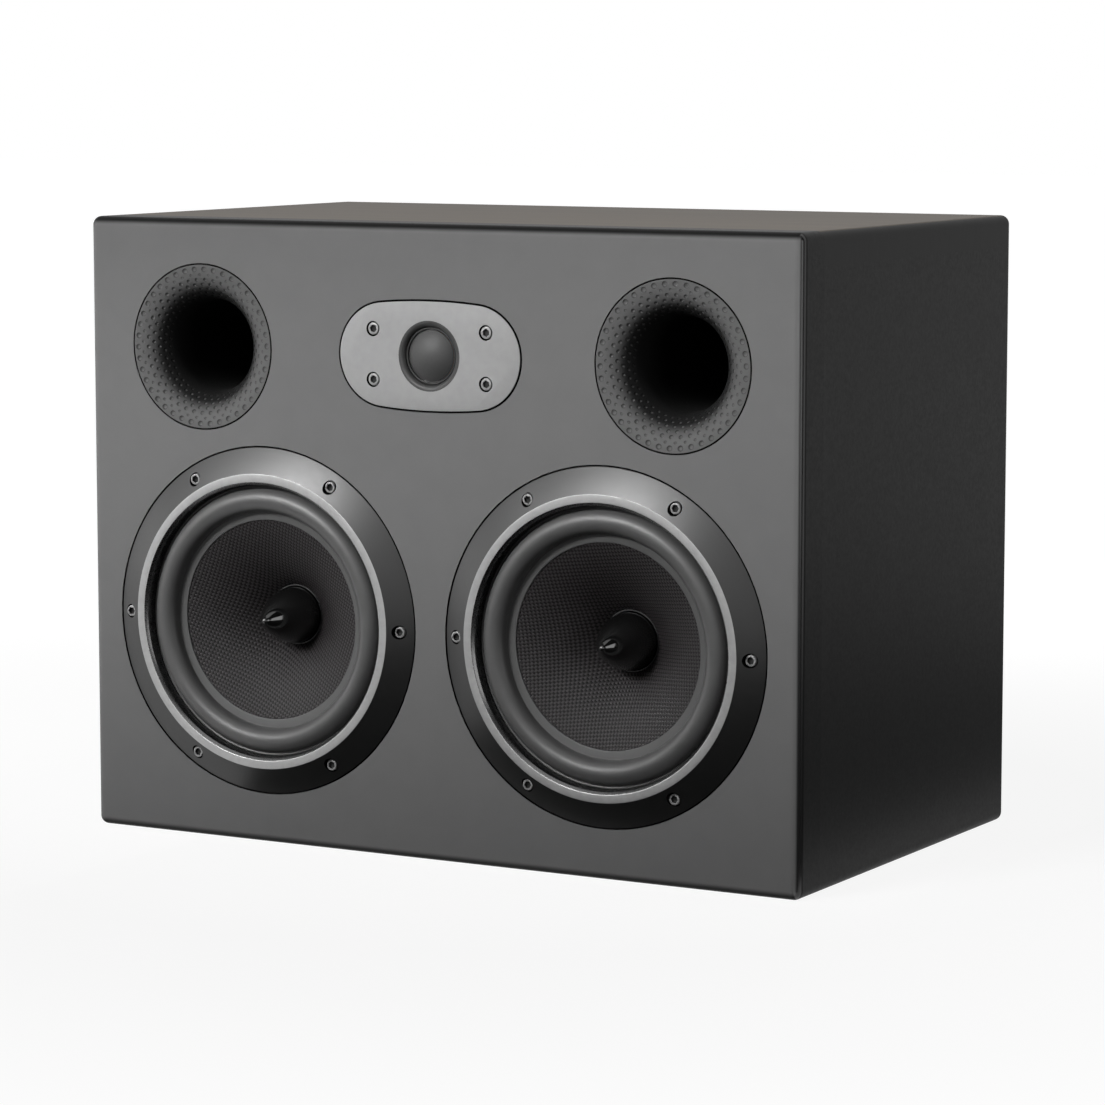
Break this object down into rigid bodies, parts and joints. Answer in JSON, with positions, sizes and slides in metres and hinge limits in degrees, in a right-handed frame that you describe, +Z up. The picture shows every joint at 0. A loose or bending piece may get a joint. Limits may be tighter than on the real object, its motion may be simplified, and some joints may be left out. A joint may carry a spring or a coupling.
{
  "type": "lcr speaker",
  "caption": "Low wide home-audio loudspeaker cabinet with woven-cone bass drivers, a dome treble driver in an oblong plate, dimpled flared ports and recessed rear terminals.",
  "frame": {"origin": "middle of the cabinet's bottom face", "axes": "+Z up, front towards -Y, +X to the right as seen from the front"},
  "size_m": [0.45, 0.2762, 0.35],
  "materials": {
    "cabinet_lacquer": "satin charcoal lacquer on board",
    "bare_board": "bare fibreboard",
    "damping_foam": "open-cell foam",
    "port_plastic": "fine matt moulding with round dents",
    "trim_ring_metal": "dark polished, clear-coated",
    "cast_frame": "black powder coat",
    "surround_rubber": "satin rubber",
    "woven_cone": "coated basket weave",
    "copper_coil": "enamelled copper wire",
    "spider_cloth": "impregnated cloth",
    "plug_gloss": "gloss black",
    "motor_steel": "zinc-plated steel",
    "ferrite": "sintered ferrite",
    "screw_steel": "dark nickel",
    "faceplate_metal": "fine satin blast",
    "dome_film": "coated textile",
    "tray_plastic": "black moulding",
    "post_metal": "gilt",
    "knob_red": "moulded, fluted",
    "knob_black": "moulded, fluted",
    "circuit_board": "solder resist",
    "capacitor_film": "film wrap",
    "resistor_ceramic": "ceramic",
    "cable_jacket": "soft jacket"
  },
  "bodies": {
    "root": {"front_baffle": "cabinet_lacquer", "top_panel": "cabinet_lacquer", "bottom_panel": "cabinet_lacquer", "left_side_panel": "cabinet_lacquer", "right_side_panel": "cabinet_lacquer", "rear_panel": "cabinet_lacquer", "window_brace": "bare_board", "left_damping_sheet": "damping_foam", "right_damping_sheet": "damping_foam", "left_port": "port_plastic", "right_port": "port_plastic", "left_woofer_trim_ring": "trim_ring_metal", "left_woofer_basket": "cast_frame", "left_woofer_surround": "surround_rubber", "left_woofer_spider": "spider_cloth", "left_woofer_phase_plug": "plug_gloss", "left_woofer_top_plate": "motor_steel", "left_woofer_yoke": "motor_steel", "left_woofer_magnet": "ferrite", "left_woofer_screws": "screw_steel", "left_woofer_cable": "cable_jacket", "right_woofer_trim_ring": "trim_ring_metal", "right_woofer_basket": "cast_frame", "right_woofer_surround": "surround_rubber", "right_woofer_spider": "spider_cloth", "right_woofer_phase_plug": "plug_gloss", "right_woofer_top_plate": "motor_steel", "right_woofer_yoke": "motor_steel", "right_woofer_magnet": "ferrite", "right_woofer_screws": "screw_steel", "right_woofer_cable": "cable_jacket", "tweeter_faceplate": "faceplate_metal", "tweeter_surround": "surround_rubber", "crossover_inductors": "copper_coil", "tweeter_top_plate": "motor_steel", "tweeter_yoke": "motor_steel", "terminal_nuts": "motor_steel", "tweeter_magnet": "ferrite", "tweeter_screws": "screw_steel", "tray_screws": "screw_steel", "terminal_tray": "tray_plastic", "crossover_spacers": "tray_plastic", "positive_post": "post_metal", "negative_post": "post_metal", "crossover_board": "circuit_board", "crossover_capacitors": "capacitor_film", "crossover_resistors": "resistor_ceramic", "tweeter_cable": "cable_jacket", "input_wires": "cable_jacket"},
    "left_diaphragm": {"left_woofer_cone": "woven_cone", "left_woofer_voice_coil": "copper_coil"},
    "right_diaphragm": {"right_woofer_cone": "woven_cone", "right_woofer_voice_coil": "copper_coil"},
    "treble_diaphragm": {"tweeter_dome": "dome_film", "tweeter_voice_coil": "copper_coil"},
    "positive_clamp": {"positive_washer": "post_metal"},
    "positive_grip": {"positive_knob": "knob_red"},
    "negative_clamp": {"negative_washer": "post_metal"},
    "negative_grip": {"negative_knob": "knob_black"}
  },
  "joints": [
    {"name": "left_cone_stroke", "type": "slide", "parent": "root", "child": "left_diaphragm", "axis": [0, -1, 0], "range_m": [-0.005, 0.005], "stiffness_N_per_m": 1400, "deforming": ["left_woofer_surround", "left_woofer_spider"]},
    {"name": "right_cone_stroke", "type": "slide", "parent": "root", "child": "right_diaphragm", "axis": [0, -1, 0], "range_m": [-0.005, 0.005], "stiffness_N_per_m": 1400, "deforming": ["right_woofer_surround", "right_woofer_spider"]},
    {"name": "dome_stroke", "type": "slide", "parent": "root", "child": "treble_diaphragm", "axis": [0, -1, 0], "range_m": [-0.0004, 0.0004], "stiffness_N_per_m": 2500, "deforming": ["tweeter_surround"]},
    {"name": "positive_clamp_lift", "type": "slide", "parent": "root", "child": "positive_clamp", "axis": [0, 1, 0], "range_m": [0, 0.005]},
    {"name": "positive_knob_turn", "type": "hinge", "parent": "positive_clamp", "child": "positive_grip", "pos_m": [0.00953, 0.12, 0.15], "axis": [0, 1, 0], "range_deg": [0, 1800]},
    {"name": "negative_clamp_lift", "type": "slide", "parent": "root", "child": "negative_clamp", "axis": [0, 1, 0], "range_m": [0, 0.005]},
    {"name": "negative_knob_turn", "type": "hinge", "parent": "negative_clamp", "child": "negative_grip", "pos_m": [-0.00953, 0.12, 0.15], "axis": [0, 1, 0], "range_deg": [0, 1800]}
  ],
  "couplings": [
    {"joint": "positive_knob_turn", "follows": "positive_clamp_lift", "rad_per_m": 6283.2},
    {"joint": "negative_knob_turn", "follows": "negative_clamp_lift", "rad_per_m": 6283.2}
  ]
}
